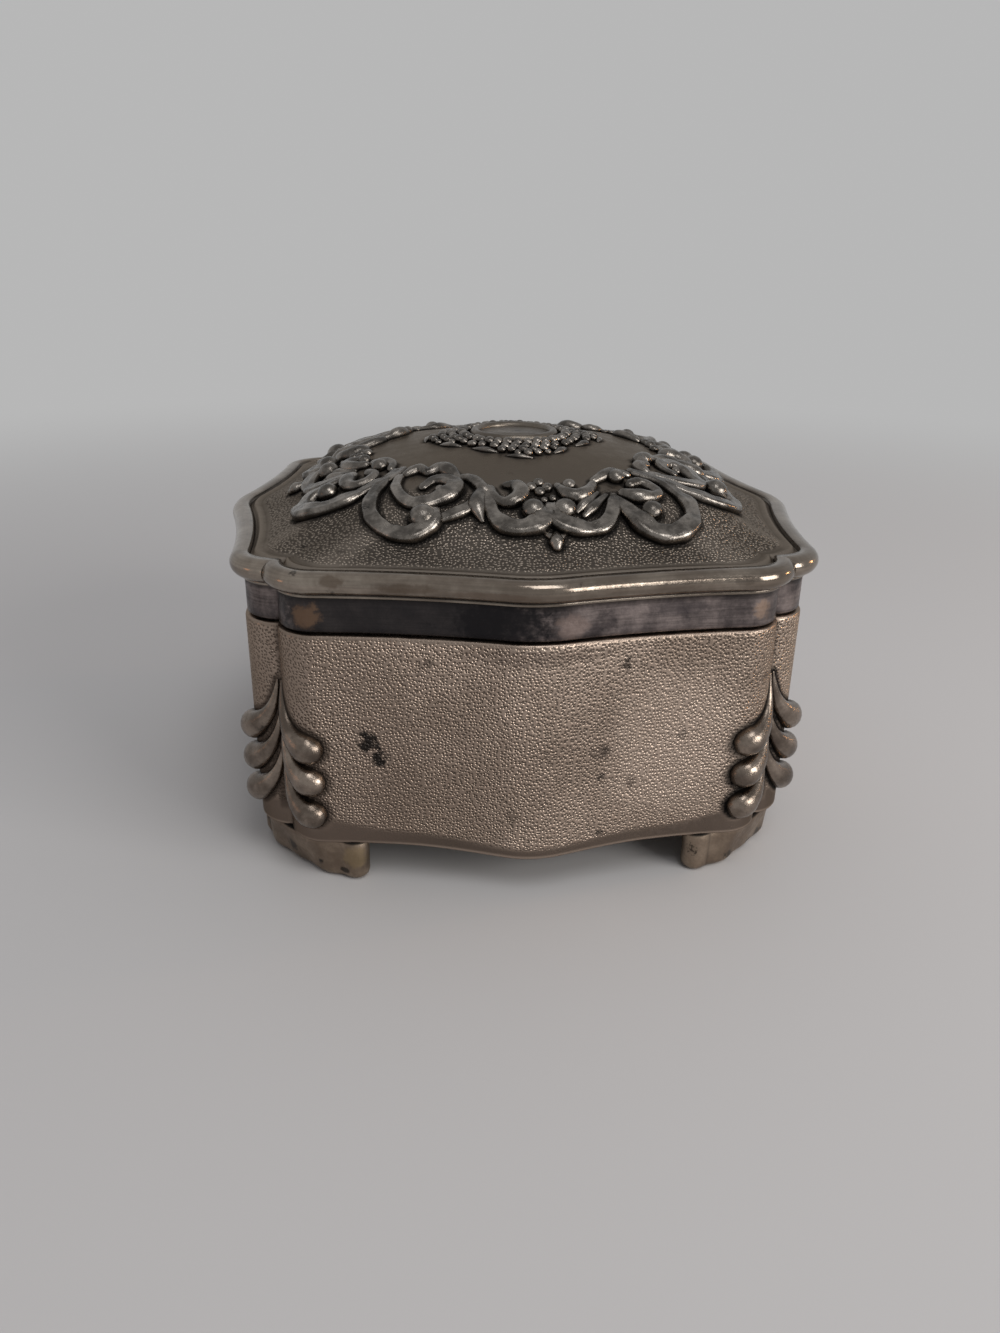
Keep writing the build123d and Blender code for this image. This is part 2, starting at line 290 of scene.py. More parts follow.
def tapered_bar(
    mesh, points, seat, marks, flat, lift=0.3, groove=0.0, uneven=0.0, around=16, per_span=6,
):
    """Bar with a rounded section and round ends laid along a surface.

    points are (u, v, half width), seat(u, v) gives the place and normal on the surface, and marks
    collects where the bar lies and how wide it is. As shares of the half width, flat is its height,
    lift how far it stands up, groove the depth of a channel along its top and uneven its waver."""
    recess = mask_layer(mesh, "recess")
    last = (len(points) - 1) * per_span
    stations = []
    for k in range(last + 1):
        u, v, half = spline_row(points, k / per_span)
        spot, normal = seat(u, v)
        half *= 1 + uneven * noise.noise(spot * 0.45)
        marks.append((spot, half))
        stations.append([spot + normal * half * lift, normal, half])
    for k, station in enumerate(stations):
        ahead = stations[min(k + 1, last)][0] - stations[max(k - 1, 0)][0]
        station.append(ahead.normalized())
    caps = []
    for end, sign in ((stations[0], -1), (stations[-1], 1)):
        spot, normal, half, ahead = end
        caps.append([
            [spot + ahead * sign * half * math.sin(angle), normal, half * math.cos(angle), ahead]
            for angle in (math.radians(30), math.radians(60), math.radians(90))
        ])
    stations = caps[0][::-1] + stations + caps[1]
    rows = len(stations)
    made = bmesh.ops.create_grid(mesh, x_segments=around, y_segments=rows - 1, size=1)["verts"]
    for vert in made:
        angle = math.pi * (vert.co.x + 1)
        spot, normal, half, ahead = stations[round((vert.co.y + 1) / 2 * (rows - 1))]
        across = ahead.cross(normal).normalized()
        up = across.cross(ahead)
        rise = math.sin(angle)
        height = rise * flat - groove * max(rise, 0.0) ** 5
        vert.co = spot + (across * math.cos(angle) + up * height) * half
        # painted shade on the lower side of the bar, where it meets the surface
        vert[recess] = 1 - smooth_step((rise + 0.25) / 0.6)
    bmesh.ops.remove_doubles(mesh, verts=made, dist=0.0005)


def boss(mesh, u, v, radius, seat, marks, lift, segments=16):
    """Round knob sunk in a surface."""
    recess = mask_layer(mesh, "recess")
    spot, normal = seat(u, v)
    marks.append((spot, radius))
    turn = normal.to_track_quat("Z", "Y").to_matrix().to_4x4()
    size = Matrix.Diagonal((radius, radius, radius * KNOB_HEIGHT, 1))
    made = bmesh.ops.create_uvsphere(
        mesh, u_segments=segments, v_segments=segments // 2 + 2, radius=1,
        matrix=Matrix.Translation(spot + normal * radius * lift) @ turn @ size,
    )["verts"]
    for vert in made:
        rise = (vert.co - spot).dot(normal) / radius
        # painted shade on the lower side of the knob
        vert[recess] = 1 - smooth_step((rise + 0.05) / 0.5)


def mark_tree(marks, mirrored):
    """Search tree of marks on all four sides, with the half width at each."""
    spread = []
    for spot, half in marks:
        for sign in (1, -1) if mirrored else (1,):
            for turn in range(4):
                spread.append((quarter_turn(turn) @ Vector((sign * spot.x, spot.y, spot.z)), half))
    tree = KDTree(len(spread))
    for index, (place, half) in enumerate(spread):
        tree.insert(place, index)
    tree.balance()
    return tree, [half for _, half in spread]


def shade_round(mesh, marks, mirrored, core, reach, limit=1.0):
    """Paints shade on a surface round what stands on it: fully within core, fading over reach."""
    recess = mask_layer(mesh, "recess")
    tree, halves = mark_tree(marks, mirrored)
    for vert in mesh.verts:
        gap = min(distance - halves[index] for _, index, distance in tree.find_n(vert.co, 6))
        vert[recess] = max(vert[recess], limit * (1 - smooth_step((gap - core) / reach)))


def add_object(name, data):
    """An object placed in the scene."""
    made = bpy.data.objects.new(name, data)
    bpy.context.scene.collection.objects.link(made)
    return made


def mesh_object(name, mesh, material):
    """An object with this mesh and material, placed in the scene."""
    data = bpy.data.meshes.new(name)
    mesh.to_mesh(data)
    mesh.free()
    data.materials.append(material)
    return add_object(name, data)


def finish_piece(name, mesh, body, material, replaced=()):
    """Puts a mesh in metres, makes it a piece that rides on a body and gives it its finish."""
    bmesh.ops.scale(mesh, vec=(MM, MM, MM), verts=mesh.verts)
    piece = mesh_object(name, mesh, material)
    for face in piece.data.polygons:
        face.use_smooth = True
    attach(piece, body)
    if replaced:
        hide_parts(*replaced)
    return piece


# Node helpers
def set_inputs(tree, node, inputs):
    """Gives a node's inputs, by number or name, links from other nodes or values."""
    for key, value in inputs.items():
        if isinstance(value, bpy.types.NodeSocket):
            tree.links.new(value, node.inputs[key])
        else:
            node.inputs[key].default_value = value


def add_node(tree, kind, inputs, **settings):
    """A shader node with its inputs and settings."""
    made = tree.nodes.new("ShaderNode" + kind)
    for setting, value in settings.items():
        setattr(made, setting, value)
    set_inputs(tree, made, inputs)
    return made


def math_node(tree, operation, first, second=0.0, clamp=False):
    made = add_node(tree, "Math", {0: first, 1: second}, operation=operation, use_clamp=clamp)
    return made.outputs[0]


def inverse(tree, value):
    """1 less the value, never below 0."""
    return math_node(tree, "SUBTRACT", 1.0, value, True)


def minus(tree, first, second):
    return math_node(tree, "SUBTRACT", first, second)


def times(tree, first, second):
    return math_node(tree, "MULTIPLY", first, second)


def plus(tree, first, second):
    return math_node(tree, "ADD", first, second)


def vector_node(tree, operation, first, second=(0, 0, 0)):
    made = add_node(tree, "VectorMath", {0: first, 1: second}, operation=operation)
    return made.outputs["Value" if operation in ("LENGTH", "DOT_PRODUCT") else "Vector"]


def step_node(tree, value, low, high):
    """Smooth step of a value from 0 at low to 1 at high."""
    limits = {"Value": value, "From Min": low, "From Max": high}
    return add_node(tree, "MapRange", limits, interpolation_type="SMOOTHSTEP").outputs[0]


def blend_node(tree, share, first, second):
    """Colour between two others."""
    made = add_node(tree, "Mix", {"Factor": share, 6: first, 7: second}, data_type="RGBA")
    return made.outputs[2]


def cover(tree, metal, colour, mask, strength):
    """Lays a colour over another where a mask says so."""
    return blend_node(tree, times(tree, mask, strength), metal, colour)


def noise_node(tree, place, scale, detail=4.0, roughness=0.55):
    inputs = {"Vector": place, "Scale": scale, "Detail": detail, "Roughness": roughness}
    return add_node(tree, "TexNoise", inputs).outputs["Fac"]


def new_group(name, inputs, outputs):
    """Empty node group. inputs and outputs are the names of its sockets by kind."""
    group = bpy.data.node_groups.new(name, "ShaderNodeTree")
    for way, sockets in (("INPUT", inputs), ("OUTPUT", outputs)):
        for kind, labels in sockets.items():
            for label in labels:
                group.interface.new_socket(label, in_out=way, socket_type="NodeSocket" + kind)
    return group, group.nodes.new("NodeGroupInput").outputs, group.nodes.new("NodeGroupOutput").inputs


def use_group(tree, group, inputs):
    """A node group placed in a material, given back as its outputs."""
    made = tree.nodes.new("ShaderNodeGroup")
    made.node_tree = group
    set_inputs(tree, made, inputs)
    return made.outputs


def pebble_group():
    """Pebbled casting: small round pits in a rubbed net where Raised is 0, round grains where it is 1;
    Ground is the painted shade in the pits and between the grains.
    """
    group, given, out = new_group(
        "pebbled casting",
        {"Vector": ("Place",), "Float": ("Pitch", "Presence", "Raised")},
        {"Float": ("Height", "Ground")},
    )
    scale = math_node(group, "DIVIDE", 1.0, given["Pitch"])
    warp = add_node(group, "TexNoise", {"Vector": given["Place"], "Scale": 420.0, "Detail": 1.0})
    drift = vector_node(group, "SUBTRACT", warp.outputs["Color"], (0.5, 0.5, 0.5))
    drift = vector_node(group, "MULTIPLY", drift, (0.0006, 0.0006, 0.0006))
    place = vector_node(group, "ADD", given["Place"], drift)
    cells = add_node(
        group, "TexVoronoi", {"Vector": place, "Scale": scale, "Randomness": 0.85},
        voronoi_dimensions="2D", feature="F1",
    ).outputs["Distance"]
    # Ground: painted shade in the pits and between the grains
    steps = (("Height", (0.1, 0.5), (0.5, 0.1)), ("Ground", (0.4, 0.12), (0.24, 0.5)))
    for label, pits, grains in steps:
        sunk = step_node(group, cells, *pits)
        change = minus(group, step_node(group, cells, *grains), sunk)
        level = plus(group, sunk, times(group, change, given["Raised"]))
        group.links.new(times(group, level, given["Presence"]), out[label])
    return group


def silver_group():
    """Antique silver: broad clouds, fine mottling and small dark spots, with painted shade in the Deep
    colour where Recess says so.
    """
    group, given, out = new_group(
        "antique silver",
        {
            "Vector": ("Place",), "Color": ("Bright", "Dark", "Deep"),
            "Float": ("Cloud Size", "Recess", "Spots", "Smooth", "Rough"),
        },
        {"Color": ("Color",), "Float": ("Roughness", "Mottle")},
    )
    cloud_scale = math_node(group, "DIVIDE", 1.0, given["Cloud Size"])
    clouds = step_node(group, noise_node(group, given["Place"], cloud_scale, 5.0, 0.6), 0.35, 0.68)
    mottle_scale = times(group, cloud_scale, 9.0)
    mottle = step_node(group, noise_node(group, given["Place"], mottle_scale, 6.0, 0.65), 0.3, 0.75)
    cells = {"Vector": given["Place"], "Scale": 110.0, "Randomness": 1.0}
    specks = add_node(group, "TexVoronoi", cells).outputs["Distance"]
    ragged = plus(group, specks, times(group, mottle, 0.25))
    ragged = minus(group, ragged, times(group, given["Spots"], 0.2))
    speck = step_node(group, ragged, 0.16, 0.06)
    metal = blend_node(group, clouds, given["Dark"], given["Bright"])
    metal = cover(group, metal, given["Dark"], mottle, 0.4)
    metal = cover(group, metal, given["Deep"], speck, 0.75)
    # painted shade: the Deep colour laid over the recesses
    metal = blend_node(group, given["Recess"], metal, given["Deep"])
    group.links.new(metal, out["Color"])
    span = minus(group, given["Rough"], given["Smooth"])
    rough = plus(group, given["Smooth"], times(group, mottle, span))
    rough = plus(group, rough, times(group, given["Recess"], 0.3))
    group.links.new(rough, out["Roughness"])
    group.links.new(mottle, out["Mottle"])
    return group


def stain_and_light_group():
    """Mask of one ragged patch, used for stains and for painted light, shade and reflections, with its
    centre and size.
    """
    group, given, out = new_group(
        "stain and light patch", {"Vector": ("Place", "Centre", "Size"), "Float": ("Ragged",)}, {"Float": ("Mask",)},
    )
    away = vector_node(group, "SUBTRACT", given["Place"], given["Centre"])
    away = vector_node(group, "LENGTH", vector_node(group, "DIVIDE", away, given["Size"]))
    rough_edge = minus(group, noise_node(group, given["Place"], 700.0, 5.0, 0.65), 0.5)
    away = plus(group, away, times(group, rough_edge, given["Ragged"]))
    group.links.new(step_node(group, away, 1.15, 0.6), out["Mask"])
    return group


PEBBLES = pebble_group()
SILVER = silver_group()
STAIN_AND_LIGHT_PATCH = stain_and_light_group()


# Finishes
# Near black: soot in spots, stains and streaks, and the colour of painted shade in recesses and pits
SOOT_AND_SHADE = (0.022, 0.02, 0.019, 1)
PEBBLE_PITCH = 0.6
PEBBLE_DEPTH = 0.16


def new_finish(name, metallic=1.0, glance=1.0):
    """Material with a Principled shader, given back with its tree, shader and object coordinates.

    glance below 1 dulls the metal at a glancing look, as tarnish does."""
    material = bpy.data.materials.new(name)
    material.use_nodes = True
    tree = material.node_tree
    shader = tree.nodes["Principled BSDF"]
    shader.inputs["Metallic"].default_value = metallic
    if glance < 1:
        shader.inputs["Specular Tint"].default_value = (glance, glance * 0.94, glance * 0.87, 1)
    place = tree.nodes.new("ShaderNodeTexCoord").outputs["Object"]
    return material, tree, shader, place


def mask_node(tree, name):
    return add_node(tree, "Attribute", {}, attribute_name=name).outputs["Fac"]


def bump(tree, height, depth):
    """Relief that is seen only in the shading, depth in metres."""
    return add_node(tree, "Bump", {"Height": height, "Distance": depth, "Strength": 1.0}).outputs[0]


def stained_and_lit(tree, place, metal, stains_and_light):
    """Lays stains and painted light, shade and reflections on a colour, each with its centre and size
    in millimetres, how ragged it is, its strength and its colour."""
    for centre, size, ragged, strength, colour in stains_and_light:
        mask = use_group(tree, STAIN_AND_LIGHT_PATCH, {
            "Place": place,
            "Centre": [value * MM for value in centre],
            "Size": [value * MM for value in size],
            "Ragged": ragged,
        })["Mask"]
        metal = cover(tree, metal, colour, mask, strength)
    return metal


def pebbled_finish(name, raised, bright, dark, plain, ground, stains_and_light=()):
    """Antique silver with pits (raised 0) or grains (raised 1) where the pebbled mask says so.

    plain is the colour elsewhere, and ground the strength of the painted shade in the pits (raised 0)
    and between the grains (raised 1)."""
    material, tree, shader, place = new_finish(name, glance=0.66)
    surface = place if raised else add_node(tree, "UVMap", {}, uv_map="surface").outputs[0]
    presence = mask_node(tree, "pebbled")
    # recess: painted shade in the recesses, through the silver group
    recess = mask_node(tree, "recess")
    silver = use_group(tree, SILVER, {
        "Place": place, "Cloud Size": 0.03, "Bright": bright, "Dark": dark, "Deep": SOOT_AND_SHADE,
        "Recess": recess, "Spots": 0.3, "Smooth": 0.26, "Rough": 0.42,
    })
    pebbles = use_group(tree, PEBBLES, {
        "Place": surface, "Pitch": PEBBLE_PITCH * MM, "Presence": presence, "Raised": raised,
    })
    clear = times(tree, inverse(tree, presence), inverse(tree, recess))
    metal = cover(tree, silver["Color"], plain, clear, 0.85)
    # painted shade in the pits and between the grains
    metal = cover(tree, metal, SOOT_AND_SHADE, pebbles["Ground"], ground)
    # lighter at worn edges, and a painted highlight along the hip of the dome
    metal = cover(tree, metal, bright, mask_node(tree, "worn"), 0.8)
    fine = times(tree, noise_node(tree, place, 2200.0, 3.0), 0.25)
    set_inputs(tree, shader, {
        "Base Color": stained_and_lit(tree, place, metal, stains_and_light),
        "Roughness": plus(tree, silver["Roughness"], times(tree, pebbles["Ground"], 0.2)),
        "Normal": bump(tree, plus(tree, pebbles["Height"], fine), PEBBLE_DEPTH * MM),
    })
    return material


def polished_finish(
    name, bright, dark, smooth, rough, cloud, spots=0.3, stains_and_light=(), streaks=0.0, dents=0.03,
):
    """Smooth silver that has gone uneven, with fine wear and, on the rim, streaks along it.

    smooth and rough are its least and most roughness, cloud the size of its clouds in metres and
    dents the depth of its wear in millimetres."""
    material, tree, shader, place = new_finish(name)
    # the recess mask paints shade in the Deep colour
    silver = use_group(tree, SILVER, {
        "Place": place, "Cloud Size": cloud, "Bright": bright, "Dark": dark, "Deep": SOOT_AND_SHADE,
        "Recess": mask_node(tree, "recess"), "Spots": spots, "Smooth": smooth, "Rough": rough,
    })
    metal = silver["Color"]
    if streaks:
        flat = add_node(tree, "UVMap", {}, uv_map="surface").outputs[0]
        drawn = add_node(tree, "Mapping", {"Vector": flat, "Scale": (90.0, 2400.0, 1.0)}).outputs[0]
        lines = step_node(tree, noise_node(tree, drawn, 1.0, 4.0, 0.6), 0.35, 0.7)
        metal = cover(tree, metal, SOOT_AND_SHADE, lines, streaks)
    wear = plus(tree, noise_node(tree, place, 700.0, 4.0), times(tree, silver["Mottle"], 0.6))
    set_inputs(tree, shader, {
        "Base Color": stained_and_lit(tree, place, metal, stains_and_light),
        "Roughness": silver["Roughness"],
        "Normal": bump(tree, wear, dents * MM),
    })
    return material


# Stains, painted light, painted shade and painted reflections: centre, size, how ragged, strength and
# colour
WALL_STAINS_AND_LIGHT = (
    # first two: painted shade over the left of the front and painted light over its right
    ((-40.0, -48.0, 26.0), (26.0, 16.0, 30.0), 0.5, 0.5, (0.2, 0.152, 0.122, 1)),
    ((26.0, -52.0, 27.0), (14.0, 9.0, 16.0), 0.8, 0.3, (0.74, 0.60, 0.5, 1)),
    ((-28.2, -51.8, 28.4), (1.9, 4.0, 2.6), 2.8, 0.95, SOOT_AND_SHADE),
    ((-26.6, -51.8, 25.4), (1.5, 4.0, 1.6), 3.0, 0.95, SOOT_AND_SHADE),
    ((11.6, -53.6, 27.0), (2.0, 4.0, 1.7), 3.0, 0.4, (0.11, 0.085, 0.07, 1)),
    ((17.5, -53.0, 20.5), (1.1, 4.0, 1.3), 2.8, 0.5, (0.08, 0.062, 0.052, 1)),
    ((-3.4, -55.2, 15.5), (1.2, 4.0, 1.6), 3.0, 0.4, (0.1, 0.08, 0.065, 1)),
    ((41.0, -50.0, 38.5), (1.3, 4.0, 1.1), 2.6, 0.5, (0.07, 0.055, 0.048, 1)),
    ((-17.5, -52.8, 43.5), (1.0, 4.0, 0.8), 2.6, 0.5, (0.08, 0.064, 0.054, 1)),
    ((0.0, -55.0, 45.5), (16.0, 5.0, 1.6), 1.8, 0.4, (0.12, 0.09, 0.075, 1)),
)
BAND_STAINS_AND_REFLECTIONS = (
    # first two: painted dark reflection over the left and middle of the band
    ((-26.0, -52.0, 51.5), (34.0, 9.0, 9.0), 1.4, 0.88, (0.034, 0.032, 0.033, 1)),
    ((-6.0, -55.0, 51.0), (9.0, 8.0, 5.0), 1.2, 0.8, (0.02, 0.019, 0.021, 1)),
    # painted warm reflection at the left lobe
    ((-37.5, -50.0, 51.0), (2.6, 5.0, 2.4), 1.6, 0.6, (0.26, 0.16, 0.10, 1)),
    ((6.0, -55.0, 50.6), (3.2, 5.0, 2.4), 1.6, 0.5, (0.33, 0.25, 0.22, 1)),
    ((24.0, -52.0, 52.4), (6.0, 5.0, 1.6), 1.8, 0.5, (0.07, 0.06, 0.064, 1)),
    # painted warm reflection at the right corner
    ((38.5, -50.0, 51.4), (1.6, 5.0, 2.0), 2.0, 0.5, (0.38, 0.26, 0.18, 1)),
)
BEAD_REFLECTIONS = (
    # painted reflections: warm brown bands along the middle of the bead
    ((-33.0, -52.0, 57.8), (2.0, 3.0, 1.2), 1.2, 0.6, (0.12, 0.085, 0.06, 1)),
    ((-21.0, -53.0, 57.0), (5.0, 3.0, 0.9), 1.4, 0.6, (0.12, 0.088, 0.065, 1)),
    ((-8.0, -56.0, 56.4), (9.0, 3.0, 0.7), 1.2, 0.5, (0.14, 0.1, 0.075, 1)),
    ((20.0, -54.0, 56.6), (9.0, 3.0, 0.8), 1.2, 0.45, (0.13, 0.1, 0.08, 1)),
    ((34.0, -52.0, 57.4), (2.2, 3.0, 0.9), 1.5, 0.5, (0.1, 0.08, 0.065, 1)),
)
FOOT_STAINS = (
    ((-38.0, -50.0, 3.0), (0.9, 3.0, 0.9), 1.5, 0.9, SOOT_AND_SHADE),
    ((-42.0, -49.0, 4.6), (0.7, 3.0, 0.7), 1.5, 0.9, SOOT_AND_SHADE),
    ((-33.5, -50.0, 2.0), (1.0, 3.0, 0.8), 1.5, 0.8, SOOT_AND_SHADE),
    ((-31.5, -49.0, 5.0), (2.4, 4.0, 2.6), 1.2, 0.5, (0.36, 0.27, 0.15, 1)),
)

WALL_FINISH = pebbled_finish(
    "pebbled_wall", 0.0, (0.54, 0.43, 0.352, 1), (0.35, 0.272, 0.218, 1), (0.12, 0.094, 0.077, 1),
    0.72, WALL_STAINS_AND_LIGHT,
)
DOME_FINISH = pebbled_finish(
    "pebbled_dome", 1.0, (0.37, 0.317, 0.27, 1), (0.235, 0.2, 0.168, 1), (0.14, 0.119, 0.1, 1),
    0.7,
)
SPRAY_FINISH = polished_finish(
    "spray_silver", (0.34, 0.28, 0.232, 1), (0.13, 0.104, 0.085, 1), 0.17, 0.3, 0.005, 0.5
)
BEAD_FINISH = polished_finish(
    "bead_silver", (0.40, 0.345, 0.29, 1), (0.21, 0.172, 0.14, 1), 0.1, 0.21, 0.01,
    0.1, BEAD_REFLECTIONS, 0.2, 0.012,
)
SCROLL_FINISH = polished_finish(
    "scroll_silver", (0.36, 0.325, 0.29, 1), (0.1, 0.09, 0.08, 1), 0.15, 0.3, 0.0035
)
RING_FINISH = polished_finish(
    "ring_silver", (0.23, 0.2, 0.168, 1), (0.14, 0.12, 0.1, 1), 0.3, 0.42, 0.005
)
BAND_FINISH = polished_finish(
    "tarnished_band", (0.33, 0.275, 0.26, 1), (0.085, 0.072, 0.073, 1), 0.3, 0.5, 0.006,
    0.3, BAND_STAINS_AND_REFLECTIONS, 0.4,
)
FOOT_FINISH = polished_finish(
    "worn_feet", (0.36, 0.285, 0.22, 1), (0.2, 0.152, 0.115, 1), 0.38, 0.55, 0.006, 0.7, FOOT_STAINS
)
PLATE_FINISH = polished_finish(
    "base_sheet", (0.3, 0.27, 0.235, 1), (0.2, 0.175, 0.15, 1), 0.35, 0.55, 0.02
)
HINGE_FINISH = polished_finish(
    "hinge_metal", (0.42, 0.36, 0.30, 1), (0.25, 0.21, 0.175, 1), 0.28, 0.45, 0.006
)


def velvet_finish():
    """Cotton velvet: deep red pile with a soft sheen."""
    material, tree, shader, place = new_finish("velvet", 0.0)
    nap = step_node(tree, noise_node(tree, place, 60.0, 4.0), 0.3, 0.7)
    pile = noise_node(tree, place, 2000.0, 3.0)
    set_inputs(tree, shader, {
        "Base Color": blend_node(tree, nap, (0.12, 0.01, 0.021, 1), (0.18, 0.017, 0.033, 1)),
        "Roughness": 0.9, "Sheen Weight": 0.5, "Sheen Roughness": 0.4,
        "Sheen Tint": (0.9, 0.35, 0.4, 1), "Normal": bump(tree, pile, 0.0003),
    })
    return material


VELVET = velvet_finish()


# Corner sprays
DROP_HEIGHTS = (14.0, 20.4, 26.8)
# One drop from the tip of its tail in the crease to its bulb: distance back from the notch, height
# above the bulb and half width
DROP = (
    (0.7, 10.6, 0.2), (1.0, 8.6, 0.55), (1.5, 6.6, 0.9), (2.4, 4.7, 1.2), (3.7, 3.0, 1.6),
    (5.5, 1.4, 2.2), (7.2, 0.4, 2.7), (8.2, 0.0, 2.65),
)
CREASE_WIDTH = 2.6
CREASE_BOTTOM = 10.5
CREASE_TOP = 37.5


def wall_seat(back, height):
    """Place and outward normal on the wall, back from the notch at a height."""
    point, heading = along_wall(WALL_LENGTH - max(back, 0.35))
    return Vector((point.x, point.y, height)), Vector((heading.y, -heading.x, 0))


def make_sprays(marks):
    """Three polished drops on each side of every notch, their tails running up into the crease."""
    mesh = bmesh.new()
    for base in DROP_HEIGHTS:
        points = [(back, base + rise, half) for back, rise, half in DROP]
        tapered_bar(mesh, points, wall_seat, marks, flat=0.92, lift=0.12, around=20, per_span=4)
    turn_to_sides(mesh)
    finish_piece("corner_sprays", mesh, "base", SPRAY_FINISH)


# Body wall
def wall_profile():
    """Closed outline of the wall, as inset from the outer face and height."""
    face_rows = 72
    rows = [(1.2, FOOT_HEIGHT), (0.55, FOOT_HEIGHT), (0.15, FOOT_HEIGHT + 0.1), (0, FOOT_HEIGHT + 0.4)]
    low, high = FOOT_HEIGHT + 0.8, WALL_TOP - 0.5
    rows += [(0.0, low + (high - low) * k / face_rows) for k in range(face_rows + 1)]
    rows += [(0.06, WALL_TOP - 0.18), (0.25, WALL_TOP), (WALL - 0.3, WALL_TOP), (WALL, WALL_TOP - 0.3)]
    rows += [(WALL, FLOOR_TOP), (1.2, FLOOR_TOP), (1.2, FOOT_HEIGHT)]
    return rows


def apron_dip(x):
    """How far the lower edge of the wall hangs below its corners."""
    if abs(x) >= APRON_HALF_WIDTH:
        return 0.0
    return APRON_DROP * (1 + math.cos(math.pi * x / APRON_HALF_WIDTH)) / 2


def make_wall(marks):
    profile = wall_profile()

    def place(row, part, share):
        inset, height = profile[row]
        point, _ = on_side(BOX_ARCS, part, share, inset)
        if height < FOOT_HEIGHT + APRON_FADE:
            fade = 1 - max(0.0, height - FOOT_HEIGHT) / APRON_FADE
            height -= apron_dip(point.x) * fade
        return Vector((point.x, point.y, height))

    def paint(row, distance, point):
        inset, height = profile[row]
        border = BORDER_HEIGHT + BORDER_RISE * smooth_step((distance - 24) / 16) - apron_dip(point.x)
        above = smooth_step((height - FOOT_HEIGHT - border + 0.5) / 1.3)
        below = smooth_step((WALL_TOP - 0.35 - height) / 0.3)
        # recess: painted shade in the crease of the notch, and darker along the join with the feet
        crease = smooth_step((distance - WALL_LENGTH + CREASE_WIDTH) / 0.5)
        crease *= smooth_step((CREASE_TOP - height) / 3) * smooth_step((height - CREASE_BOTTOM) / 1.5)
        crease = max(crease, 0.75 * smooth_step((distance - WALL_LENGTH + 0.7) / 0.4))
        edge = 1.0 if row in (2, 3) else 0.6 * smooth_step((height - WALL_TOP + 0.5) / 0.3)
        seam = smooth_step((FOOT_HEIGHT + 0.35 - height) / 0.3) * smooth_step((distance - 28) / 4)
        pebbled = above * below if inset < 0.1 else 0.0
        return {"pebbled": pebbled, "worn": edge * (1 - seam), "recess": max(0.9 * crease, seam)}

    mesh = grid_sides(len(profile), place, paint)
    # painted shade round the sprays on the wall
    shade_round(mesh, marks, True, 0.35, 0.8)
    finish_piece("wall_casting", mesh, "base", WALL_FINISH, ("body_wall",))


# Feet
def foot_outline():
    """Outline of the front right foot from above, smooth at the corner, with a toe at each end."""
    toe = Vector(TOE)
    runs = []
    for inset in (FOOT_INSET, FOOT_INSET + FOOT_WALL):
        distance = WALL_LENGTH
        point, heading = along_wall(distance, inset)
        while heading.y > heading.x:
            distance -= 0.2
            point, heading = along_wall(distance, inset)
        middle = Vector((1, -1)) * ((point.x - point.y) / 2 + 0.2)
        run = [middle.lerp(point, share) for share in (0, 0.2, 0.4, 0.6, 0.8)]
        while distance > 0:
            point, _ = along_wall(distance, inset)
            if (point - toe).length < TOE_RADIUS or point.x < toe.x + 0.3:
                break
            if (point - run[-1]).length > 0.25:
                run.append(point)
            distance -= 0.45
        runs.append(run)
    outer, inner = runs
    start = math.atan2(outer[-1].y - toe.y, outer[-1].x - toe.x)
    end = math.atan2(inner[-1].y - toe.y, inner[-1].x - toe.x)
    while end > start:
        end -= 2 * math.pi
    steps = 30
    arc = []
    for k in range(1, steps):
        angle = start + (end - start) * k / steps
        arc.append(toe + Vector((math.cos(angle), math.sin(angle))) * TOE_RADIUS)
    half = outer + arc + inner[::-1]
    for _ in range(8):
        around = zip(half, half[1:], half[2:])
        half[1:-1] = [(before + point * 2 + after) / 4 for before, point, after in around]
    return half + [Vector((-point.y, -point.x)) for point in half[-2:0:-1]]


